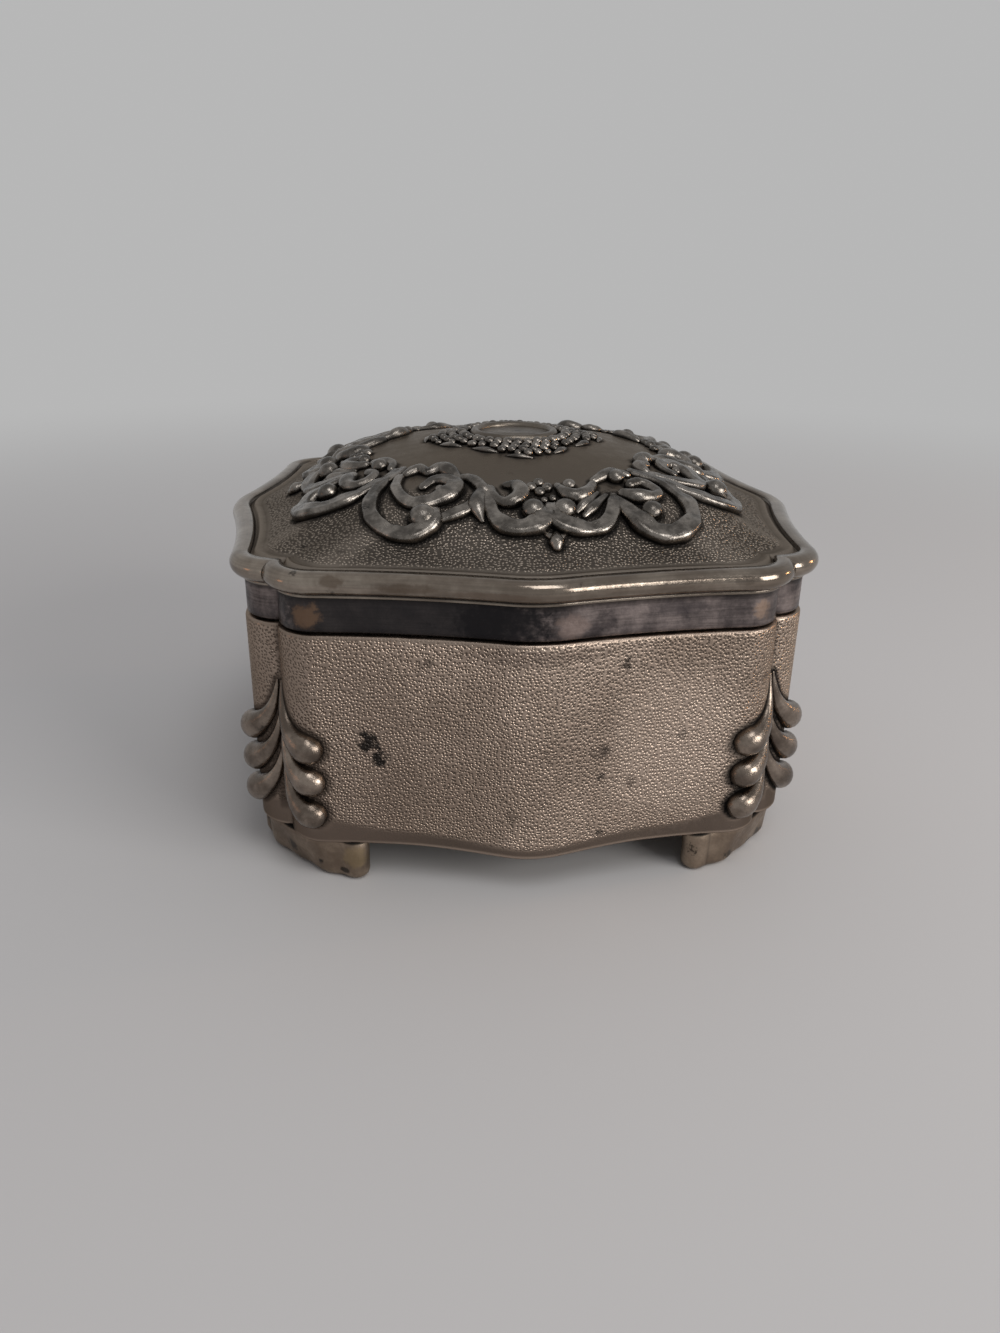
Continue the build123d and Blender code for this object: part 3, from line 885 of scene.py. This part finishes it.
def make_foot(corner, turn):
    outline = foot_outline()
    count = len(outline)
    normals = []
    for k, point in enumerate(outline):
        along = (outline[(k + 1) % count] - outline[k - 1]).normalized()
        normals.append(Vector((along.y, -along.x)))
    area = sum(a.x * b.y - a.y * b.x for a, b in zip(outline, outline[1:] + outline[:1]))
    side = -1 if area > 0 else 1
    rows = [(0.3, FOOT_HEIGHT), (0.12, FOOT_HEIGHT - 0.15), (0.0, FOOT_HEIGHT - 0.5)]
    rows += [(-0.05, 6.4), (0.0, 5.2), (0.06, 4.0)]
    for k in range(7):
        angle = math.radians(15 * k)
        rows.append((0.1 + 1.5 * (1 - math.cos(angle)), 1.7 * (1 - math.sin(angle))))
    mesh = bmesh.new()
    recess = mask_layer(mesh, "recess")
    bmesh.ops.create_grid(mesh, x_segments=count, y_segments=len(rows) - 1, size=1)
    for vert in mesh.verts:
        column = round((vert.co.x + 1) / 2 * count) % count
        inset, height = rows[round((vert.co.y + 1) / 2 * (len(rows) - 1))]
        point = outline[column] + normals[column] * inset * side
        wobble = 0.08 * noise.noise(Vector((point.x * 0.5, point.y * 0.5, height * 0.5)))
        point += normals[column] * wobble * side
        from_toe = min((point - toe).length for toe in (Vector(TOE), Vector((-TOE[1], -TOE[0]))))
        slope = FOOT_SLOPE * (1 - height / FOOT_HEIGHT) * smooth_step((from_toe - 3) / 7)
        point += Vector((-1, 1)).normalized() * slope
        vert.co = (point.x, point.y, height)
        # recess: painted shade at the top of the foot under the wall and in the groove at the toe
        groove = 1 - smooth_step(abs(abs(point.x) - TOE_GROOVE) / 0.5) if point.y < -47 else 0.0
        vert[recess] = max(smooth_step((height - FOOT_HEIGHT + 0.4) / 0.3), 0.45 * groove)
    bmesh.ops.remove_doubles(mesh, verts=mesh.verts, dist=0.002)
    bmesh.ops.rotate(mesh, cent=(0, 0, 0), matrix=quarter_turn(turn), verts=mesh.verts)
    close_mesh(mesh)
    finish_piece("foot_casting_" + corner, mesh, "base", FOOT_FINISH, ("foot_" + corner,))


# Lid rim
def rim_profile():
    """Closed outline of the rim: band, lip, half round bead, dome seat and ledge."""
    lip = BAND_TOP - LIP_HEIGHT
    inner = BAND_INSET + BAND_WALL
    rows = [(inner, BAND_BOTTOM), (BAND_INSET + 0.25, BAND_BOTTOM), (BAND_INSET, BAND_BOTTOM + 0.25)]
    rows += [(BAND_INSET, BAND_BOTTOM + 0.25 + (lip - BAND_BOTTOM - 0.4) * k / 6) for k in range(1, 7)]
    rows += [(0.22, lip), (0.03, lip + 0.12), (0, lip + 0.3), (0.06, BAND_TOP - 0.1), (0.2, BAND_TOP)]
    bead_half = (BEAD_TOP - BAND_TOP) / 2
    for k in range(1, 17):
        angle = -math.pi / 2 + math.pi * k / 16
        rows.append((-BEAD_PROUD * math.cos(angle), BAND_TOP + bead_half + bead_half * math.sin(angle)))
    rows += [(SEAT_INSET - 0.35, BEAD_TOP), (SEAT_INSET, BEAD_TOP - 0.35), (SEAT_INSET, SEAT_LEVEL)]
    rows += [(LEDGE_INSET, SEAT_LEVEL), (LEDGE_INSET, BAND_TOP)]
    return rows + [(inner, BAND_TOP), (inner, BAND_BOTTOM)]


def make_rim():
    profile = rim_profile()

    def place(row, part, share):
        return box_point(part, share, *profile[row])

    def paint(row, distance, point):
        inset, height = profile[row]
        # recess: painted shade under the bead, under the lip and beside the dome
        under_bead = 1 - smooth_step(abs(height - BAND_TOP) / 0.35)
        under_lip = 1 - smooth_step(abs(height - BAND_TOP + LIP_HEIGHT + 0.1) / 0.2)
        beside_dome = smooth_step((inset - SEAT_INSET + 0.4) / 0.3)
        return {"recess": max(under_bead, 0.7 * under_lip, 0.6 * beside_dome) if inset < 1.6 else 0.0}

    mesh = grid_sides(len(profile), place, paint)
    piece = finish_piece("rim_casting", mesh, "lid", BEAD_FINISH, ("lid_rim",))
    piece.data.materials.append(BAND_FINISH)
    for face in piece.data.polygons:
        if face.center.z < (BAND_TOP - LIP_HEIGHT) * MM:
            face.material_index = 1


# Lid dome
def dome_arcs(level, shrink=0.0):
    """Height and half side of a level of the dome, made smaller by shrink."""
    height, half, swell_y, lobe_x, lobe_y, corner = level
    size = half - shrink
    swell = (SWELL_SHARE * size, -swell_y * size)
    lobe = (lobe_x * size, -lobe_y * size)
    return height, half_side((0, -size), swell, lobe, (corner * size, -corner * size))


# Rows of the dome's mesh, and how many of them one step of the moulding at its rim takes
DOME_ROWS = 88
RIM_ROWS = 3.0


def build_dome():
    top = len(DOME_LEVELS) - 1
    outer = [dome_arcs(spline_row(DOME_LEVELS, top * k / DOME_ROWS)) for k in range(DOME_ROWS + 1)]
    inner = [dome_arcs(spline_row(DOME_LEVELS, top * k / 8), DOME_THICKNESS) for k in range(9)]
    rows = [("inner", height - DOME_THICKNESS, arcs) for height, arcs in reversed(inner)]
    rows += [("flange", SEAT_LEVEL, LEDGE_INSET), ("flange", SEAT_LEVEL, SEAT_INSET + 0.1)]
    rows += [("flange", DOME_LEVELS[0][0], SEAT_INSET + 0.1)]
    rows += [("outer", height, arcs) for height, arcs in outer]
    first = len(rows) - len(outer)

    def place(row, part, share):
        kind, height, shape = rows[row]
        if kind == "flange":
            return box_point(part, share, shape, height)
        point, _ = on_side(shape, part, share, 0.0)
        if kind == "outer":
            rim = (row - first) / RIM_ROWS
            bulge = 0.45 * math.exp(-((rim - 1.0) / 0.45) ** 2)
            height += bulge - 0.12 * math.exp(-((rim - 2.1) / 0.4) ** 2)
        return Vector((point.x, point.y, height))

    def paint(row, distance, point):
        # inside the dome: painted shade
        if row < first:
            return {"recess": 0.8}
        rim = (row - first) / RIM_ROWS
        skirt = smooth_step((rim - 2.2) / 0.5) * smooth_step((67.6 - point.z) / 0.8)
        ridge = math.exp(-((rim - 1.0) / 0.5) ** 2)
        # painted shade in the grooves of the moulding at the rim
        groove = max(0.75 - 0.75 * smooth_step(rim / 0.4), 0.55 * math.exp(-((rim - 2.0) / 0.3) ** 2))
        # painted highlight along the hip over the corner lobe; the rim ridge is lighter too
        hip_highlight = smooth_step((distance - 33) / 3) * (1 - smooth_step((distance - 39) / 3))
        hip_highlight *= smooth_step((64 - point.z) / 3)
        return {"pebbled": skirt, "worn": max(0.6 * ridge, 0.35 * hip_highlight), "recess": groove}

    mesh = grid_sides(len(rows), place, paint)
    close_mesh(mesh)
    return mesh


def make_ring():
    """Raised round ring with a shallow floor inside it, on top of the dome."""
    mesh = bmesh.new()
    level = DOME_LEVELS[-1][0]
    bmesh.ops.create_circle(mesh, segments=24, radius=RING_THICKNESS)
    upright = Matrix.Rotation(math.pi / 2, 3, "X")
    bmesh.ops.rotate(mesh, cent=(0, 0, 0), matrix=upright, verts=mesh.verts)
    bmesh.ops.translate(mesh, vec=(RING_RADIUS, 0, level + RING_LIFT), verts=mesh.verts)
    for vert in mesh.verts:
        if vert.co.z < level + RING_LIFT - 0.1:
            vert.co.z -= 1.2
    bmesh.ops.spin(
        mesh, geom=mesh.edges[:] + mesh.verts[:], cent=(0, 0, 0), axis=(0, 0, 1), angle=2 * math.pi,
        steps=96, use_merge=True,
    )
    bmesh.ops.create_cone(
        mesh, cap_ends=True, segments=96, radius1=RING_RADIUS, radius2=RING_RADIUS - 0.3, depth=1.6,
        matrix=Matrix.Translation((0, 0, level + 0.15)),
    )
    recess = mask_layer(mesh, "recess")
    for vert in mesh.verts:
        # painted shade on the outer lower side of the ring
        outside = smooth_step((math.hypot(vert.co.x, vert.co.y) - RING_RADIUS) / 0.4)
        vert[recess] = outside * (1 - smooth_step((vert.co.z - level + 0.1) / 0.5))
    bmesh.ops.remove_doubles(mesh, verts=mesh.verts, dist=0.001)
    bmesh.ops.recalc_face_normals(mesh, faces=mesh.faces)
    finish_piece("top_ring", mesh, "lid", RING_FINISH)


# Scroll wreath and berries on the dome
# One side of the wreath as seen from above, from its left end to its right: x, y and half width
WREATH_BARS = (
    # left scroll and the coil inside it
    ((-23.2, -20.5, 0.6), (-25.2, -25.0, 0.8), (-27.0, -29.5, 0.95), (-27.4, -33.5, 1.05),
     (-26.3, -36.8, 1.1), (-23.6, -39.2, 1.2), (-20.4, -40.0, 1.35), (-17.6, -38.6, 1.6),
     (-16.9, -36.6, 1.5)),
    ((-22.3, -23.5, 0.6), (-23.0, -28.0, 0.85), (-21.3, -32.4, 1.0), (-18.8, -33.6, 1.1),
     (-15.8, -32.8, 1.3), (-13.3, -31.2, 1.35), (-12.6, -29.0, 1.2), (-14.2, -27.3, 1.0),
     (-16.4, -27.0, 0.85), (-18.2, -28.8, 0.65)),
    ((-17.2, -23.6, 0.7), (-15.0, -22.8, 1.05), (-13.0, -24.8, 1.1), (-11.9, -27.6, 0.6)),
    ((-21.3, -23.0, 0.6), (-18.9, -21.8, 0.95), (-17.4, -23.6, 0.7)),
    ((-12.0, -26.6, 0.5), (-10.2, -26.9, 0.8), (-8.6, -29.0, 0.9), (-7.6, -31.2, 0.8)),
    ((-16.2, -37.4, 0.6), (-12.9, -36.5, 0.9), (-9.9, -34.9, 1.0), (-8.0, -31.6, 0.8)),
    # left middle scroll with its leaf and hook
    ((-8.0, -31.4, 0.7), (-9.0, -34.8, 1.3), (-8.2, -38.2, 0.4)),
    ((-7.2, -30.8, 0.8), (-6.8, -34.9, 1.0), (-5.9, -38.2, 1.15), (-4.0, -40.4, 1.25),
     (-1.4, -41.0, 1.35), (1.2, -40.2, 1.5), (2.4, -38.4, 1.4)),
    ((-6.3, -30.6, 0.6), (-5.8, -33.4, 0.8), (-4.0, -34.9, 0.95), (-2.2, -34.4, 1.15),
     (-1.2, -32.4, 1.2), (-2.0, -30.4, 0.95), (-3.6, -29.8, 0.6)),
    # right middle scroll with its hook and ribbed leaf
    ((5.4, -29.9, 0.6), (6.6, -32.2, 0.95), (8.6, -32.9, 1.15), (10.4, -31.5, 1.05),
     (11.8, -29.2, 0.7)),
    ((3.9, -36.6, 1.2), (4.4, -39.0, 1.4), (7.2, -40.2, 1.3), (10.2, -40.1, 1.25),
     (12.6, -39.0, 1.2), (14.2, -36.4, 1.1), (15.0, -33.4, 0.85), (15.2, -31.4, 0.5)),
    ((9.4, -37.2, 0.5), (11.4, -34.9, 0.85), (13.8, -31.8, 0.45)),
    ((8.2, -36.4, 0.45), (9.8, -34.4, 0.75), (12.4, -31.2, 0.4)),
    # right scroll, its hook and the ridge above it
    ((15.1, -32.6, 0.7), (16.6, -34.6, 1.1), (18.3, -37.0, 1.35), (20.4, -39.2, 1.5),
     (23.2, -40.2, 1.6), (26.3, -39.0, 1.5), (28.4, -36.0, 1.3), (28.6, -32.0, 1.1),
     (27.1, -28.9, 0.95), (25.0, -25.6, 0.85), (22.7, -23.2, 0.75), (19.8, -21.8, 0.5)),
    ((17.0, -31.2, 0.8), (19.2, -32.0, 1.1), (21.8, -31.8, 1.05), (23.4, -30.2, 0.85),
     (22.6, -28.2, 0.8), (20.6, -27.0, 0.9), (18.6, -28.2, 0.7)),
    ((12.2, -27.6, 0.6), (14.0, -26.0, 0.9), (16.2, -24.0, 0.85), (18.8, -24.2, 0.5)),
    # small pendant below the rosette
    ((1.8, -41.4, 0.25), (3.9, -42.6, 0.6), (6.0, -41.2, 0.25)),
    ((3.9, -41.6, 0.5), (3.9, -43.4, 1.05), (3.9, -44.6, 0.6)),
)
# Round ends and the rosette: x, y and radius
WREATH_BOSSES = (
    (-18.3, -36.9, 2.2), (0.5, -37.2, 1.9), (6.0, -36.6, 1.9), (21.4, -35.4, 1.8),
    (16.4, -26.2, 1.5), (7.5, -29.6, 1.15), (0.7, -30.7, 0.95), (2.1, -29.3, 0.95),
    (3.5, -30.7, 0.95), (2.1, -32.1, 0.95), (4.2, -33.6, 0.7), (2.7, -34.2, 0.65),
    (-15.2, -30.0, 0.9),
)
# Berries and leaves of one bunch, the tallest close round the ring
BERRIES = (
    (-6.9, -7.8, 0.9), (-5.4, -8.9, 0.95), (-3.8, -9.7, 0.9), (-2.0, -10.2, 1.0),
    (-0.1, -10.4, 0.95), (1.9, -10.2, 0.9), (3.7, -9.8, 1.0), (5.4, -9.0, 0.9), (6.9, -7.7, 0.95),
    (-8.6, -9.4, 0.8), (-6.9, -10.4, 0.8), (-4.6, -11.6, 0.9), (-2.6, -12.2, 0.85),
    (-0.7, -12.5, 0.95), (1.3, -12.3, 0.85), (3.2, -12.0, 0.9), (5.2, -11.2, 0.95),
    (7.1, -10.3, 0.8), (9.2, -9.0, 0.7), (-3.4, -14.2, 0.8), (-1.5, -14.4, 0.85), (0.6, -14.5, 0.9),
    (2.6, -14.1, 0.8), (4.7, -13.4, 0.85), (6.7, -12.6, 0.7), (1.4, -16.4, 0.85),
    (-0.5, -16.1, 0.65), (3.3, -15.9, 0.75), (5.3, -15.2, 0.6),
)
BERRY_LEAVES = (
    ((-8.6, -11.6, 0.3), (-6.4, -13.4, 0.9), (-4.4, -14.4, 0.3)),
    ((6.6, -14.8, 0.3), (8.0, -13.2, 0.85), (9.2, -11.2, 0.3)),
    ((-2.4, -16.8, 0.25), (-0.2, -17.4, 0.7), (2.0, -17.9, 0.25)),
)


# Widening of the bars and knobs in these tables, and the numbers of the bars with a channel on top
SCROLL_SPREAD = 1.32
KNOB_SPREAD = 1.1
GROOVED = (0, 1, 5, 7, 10, 13)
# Berries nearer the middle of the lid than this stand up more
NEAR_RING = 11.0


def make_wreath(seat, marks):
    mesh = bmesh.new()
    for number, points in enumerate(WREATH_BARS):
        spread = [(x, y, half * SCROLL_SPREAD) for x, y, half in points]
        groove = 0.4 if number in GROOVED else 0.0
        tapered_bar(mesh, spread, seat, marks, flat=0.95, lift=0.32, groove=groove, uneven=0.22)
    for x, y, radius in WREATH_BOSSES:
        boss(mesh, x, y, radius * KNOB_SPREAD, seat, marks, 0.35)
    turn_round(mesh)
    finish_piece("scroll_wreath", mesh, "lid", SCROLL_FINISH)


def make_berries(seat, marks):
    mesh = bmesh.new()
    for x, y, radius in BERRIES:
        lift = 0.76 if math.hypot(x, y) < NEAR_RING else 0.55
        boss(mesh, x, y, radius * KNOB_SPREAD, seat, marks, lift, segments=14)
    for points in BERRY_LEAVES:
        tapered_bar(mesh, points, seat, marks, flat=0.7, around=8, per_span=4)
    turn_round(mesh)
    finish_piece("berry_bunches", mesh, "lid", SCROLL_FINISH)


spray_marks = []
make_sprays(spray_marks)
make_wall(spray_marks)
for turn, corner in enumerate(("front_right", "rear_right", "rear_left", "front_left")):
    make_foot(corner, turn)
make_rim()
make_ring()
dome_mesh = build_dome()
dome_tree = BVHTree.FromBMesh(dome_mesh)


def dome_seat(x, y):
    """Place and normal on the dome under a point seen from above."""
    spot, normal, _, _ = dome_tree.ray_cast(Vector((x, y, 200)), Vector((0, 0, -1)))
    return spot, normal


scroll_marks = []
make_wreath(dome_seat, scroll_marks)
make_berries(dome_seat, scroll_marks)
# painted shade on the dome round the wreath and berries
shade_round(dome_mesh, scroll_marks, False, 0.25, 0.9, 0.95)
finish_piece("dome_casting", dome_mesh, "lid", DOME_FINISH, ("lid_dome",))


# Velvet lining and pads
def make_lining(side, turn):
    """Velvet over a thin card that follows the wall from notch to notch."""
    inner = WALL + LINING
    roll = LINING / 2
    rows = [(WALL, FLOOR_TOP), (WALL, LINING_TOP - roll)]
    for k in range(1, 6):
        angle = math.pi * k / 6
        rows.append((WALL + roll - roll * math.cos(angle), LINING_TOP - roll + roll * math.sin(angle)))
    rows += [(inner, LINING_TOP - roll - (LINING_TOP - roll - FLOOR_TOP) * k / 12) for k in range(13)]
    rows += [(WALL, FLOOR_TOP)]

    def place(row, part, share):
        inset, height = rows[row]
        point = box_point(part, share, inset, height, LINING_GAP)
        if inset == inner and FLOOR_TOP < height:
            nap = noise.noise(Vector((point.x * 0.09, point.y * 0.09, height * 0.09 + 7 * turn)))
            point.y -= 0.12 * abs(nap)
        return point

    mesh = grid_sides(len(rows), place, copies=1)
    bmesh.ops.rotate(mesh, cent=(0, 0, 0), matrix=quarter_turn(turn), verts=mesh.verts)
    close_mesh(mesh)
    piece = finish_piece("velvet_lining_" + side, mesh, "base", VELVET, ("lining_" + side,))


def make_pad(name, body, node, inset, flat_level, edge_level, crown_level):
    """Velvet pad: flat where it rests, sides drawn in, crowned in the middle, gathered at the edge."""
    up = 1 if crown_level > flat_level else -1
    edge = (
        (0.7, flat_level), (0.2, flat_level + 0.15 * up), (0.0, flat_level + 0.5 * up),
        (0.05, edge_level - 0.75 * up), (0.3, edge_level - 0.3 * up),
        (PAD_EDGE, edge_level - 0.04 * up),
    )
    rows = [("scale", 0.0, flat_level), ("scale", 0.5, flat_level)]
    rows += [("inset", inset + extra, height) for extra, height in edge]
    rows += [("scale", 1 - k / 24, 0.0) for k in range(1, 25)]

    def place(row, part, share):
        kind, value, height = rows[row]
        if kind == "inset":
            return box_point(part, share, value, height)
        point, _ = on_side(BOX_ARCS, part, share, inset + PAD_EDGE)
        point = point * value
        if row > 2:
            height = crown_level - (crown_level - edge_level) * value ** 2
            swirl = 3 * noise.noise(Vector((point.x, point.y, 3)) * 0.1)
            gather = math.sin(17 * math.atan2(point.y, point.x) + swirl)
            height -= up * 0.14 * (1 + gather) / 2 * smooth_step((value - 0.72) / 0.25)
            height -= up * 0.12 * abs(noise.noise(Vector((point.x, point.y, 9)) * 0.07))
        return Vector((point.x, point.y, height))

    mesh = grid_sides(len(rows), place)
    piece = finish_piece(name, mesh, body, VELVET, (node,))


for turn, side in enumerate(("front", "right", "rear", "left")):
    make_lining(side, turn)
make_pad("velvet_floor_pad", "base", "floor_pad", WALL + LINING + PAD_CLEARANCE, *FLOOR_PAD)
make_pad("velvet_lid_pad", "lid", "lid_pad", BAND_INSET + BAND_WALL + PAD_CLEARANCE, *LID_PAD)


# CAD pieces that keep their shape
def dress(node, material):
    """Gives a CAD piece its finish."""
    slots = nodes[node].data.materials
    slots.clear()
    slots.append(material)


for node in ("hinge_leaf_body", "hinge_leaf_lid", "hinge_pin"):
    dress(node, HINGE_FINISH)
dress("base_plate", PLATE_FINISH)


# Floor, light and camera
BACKGROUND = (0.475, 0.475, 0.475, 1)


def background_seen(tree):
    """1 where the background shows: to the camera, and in metal and glass."""
    ray = tree.nodes.new("ShaderNodeLightPath").outputs
    seen = math_node(tree, "MAXIMUM", ray["Is Camera Ray"], ray["Is Glossy Ray"])
    return math_node(tree, "MAXIMUM", seen, ray["Is Transmission Ray"])


def make_stage():
    """Pale table that runs into the pale background behind the box."""
    mesh = bmesh.new()
    bmesh.ops.create_circle(mesh, cap_ends=True, segments=64, radius=4.0)
    material, tree, shader, place = new_finish("pale_floor", 0.0)
    set_inputs(tree, shader, {
        "Base Color": (0.52, 0.512, 0.515, 1), "Roughness": 0.7, "Specular IOR Level": 0.2,
    })
    far = step_node(tree, vector_node(tree, "LENGTH", place), 0.16, 0.6)
    share = times(tree, far, background_seen(tree))
    glow = add_node(tree, "Emission", {"Color": BACKGROUND, "Strength": 1.0}).outputs[0]
    mixed = add_node(tree, "MixShader", {0: share, 1: shader.outputs[0], 2: glow}).outputs[0]
    tree.links.new(mixed, tree.nodes["Material Output"].inputs["Surface"])
    mesh_object("table_top", mesh, material)


def make_world():
    """Plain room light, stronger from above and the right, and the pale background."""
    world = bpy.data.worlds.new("studio")
    bpy.context.scene.world = world
    world.use_nodes = True
    tree = world.node_tree
    heading = tree.nodes.new("ShaderNodeTexCoord").outputs["Generated"]
    lean = step_node(tree, vector_node(tree, "DOT_PRODUCT", heading, (0.42, 0.3, 0.7)), -0.5, 0.85)
    room = blend_node(tree, lean, (0.16, 0.155, 0.15, 1), (0.6, 0.6, 0.61, 1))
    shown = blend_node(tree, background_seen(tree), room, BACKGROUND)
    tree.links.new(shown, tree.nodes["Background"].inputs["Color"])


def make_lamp(name, place, aim, size, power, tint=(1, 1, 1)):
    light = bpy.data.lights.new(name, "AREA")
    light.shape = "RECTANGLE"
    light.size, light.size_y = size
    light.energy = power
    light.color = tint
    lamp = add_object(name, light)
    lamp.location = place
    lamp.rotation_mode = "QUATERNION"
    lamp.rotation_quaternion = (Vector(aim) - Vector(place)).to_track_quat("-Z", "Y")


def make_camera():
    """Camera of the photograph, found from the outline, the seam and the notches of the box."""
    data = bpy.data.cameras.new("camera")
    data.lens = 27.03
    data.sensor_width = 36.0
    data.clip_start = 0.01
    camera = add_object("camera", data)
    yaw, tilt, roll = math.radians(-3.99), math.radians(67.11), math.radians(0.76)
    camera.matrix_world = (
        Matrix.Translation((-0.01646, -0.20441, 0.10748))
        @ Matrix.Rotation(yaw, 4, "Z")
        @ Matrix.Rotation(tilt, 4, "X")
        @ Matrix.Rotation(roll, 4, "Z")
    )
    bpy.context.scene.camera = camera


make_stage()
make_world()
make_lamp("overhead", (0.14, -0.45, 0.85), (0, 0, 0.03), (0.3, 0.45), 1.6)
make_lamp("window", (0.61, -0.51, 0.3), (0, 0, 0.05), (0.46, 0.36), 4.0, (1.0, 0.97, 0.93))
make_lamp("warm_right", (0.7, 0.1, 0.16), (0, 0, 0.05), (0.05, 0.05), 0.35, (1.0, 0.55, 0.25))
make_lamp("warm_left", (-0.7, -0.2, 0.1), (0, 0, 0.05), (0.14, 0.1), 0.05, (1.0, 0.45, 0.2))
make_camera()
bpy.context.scene.view_settings.view_transform = "Standard"
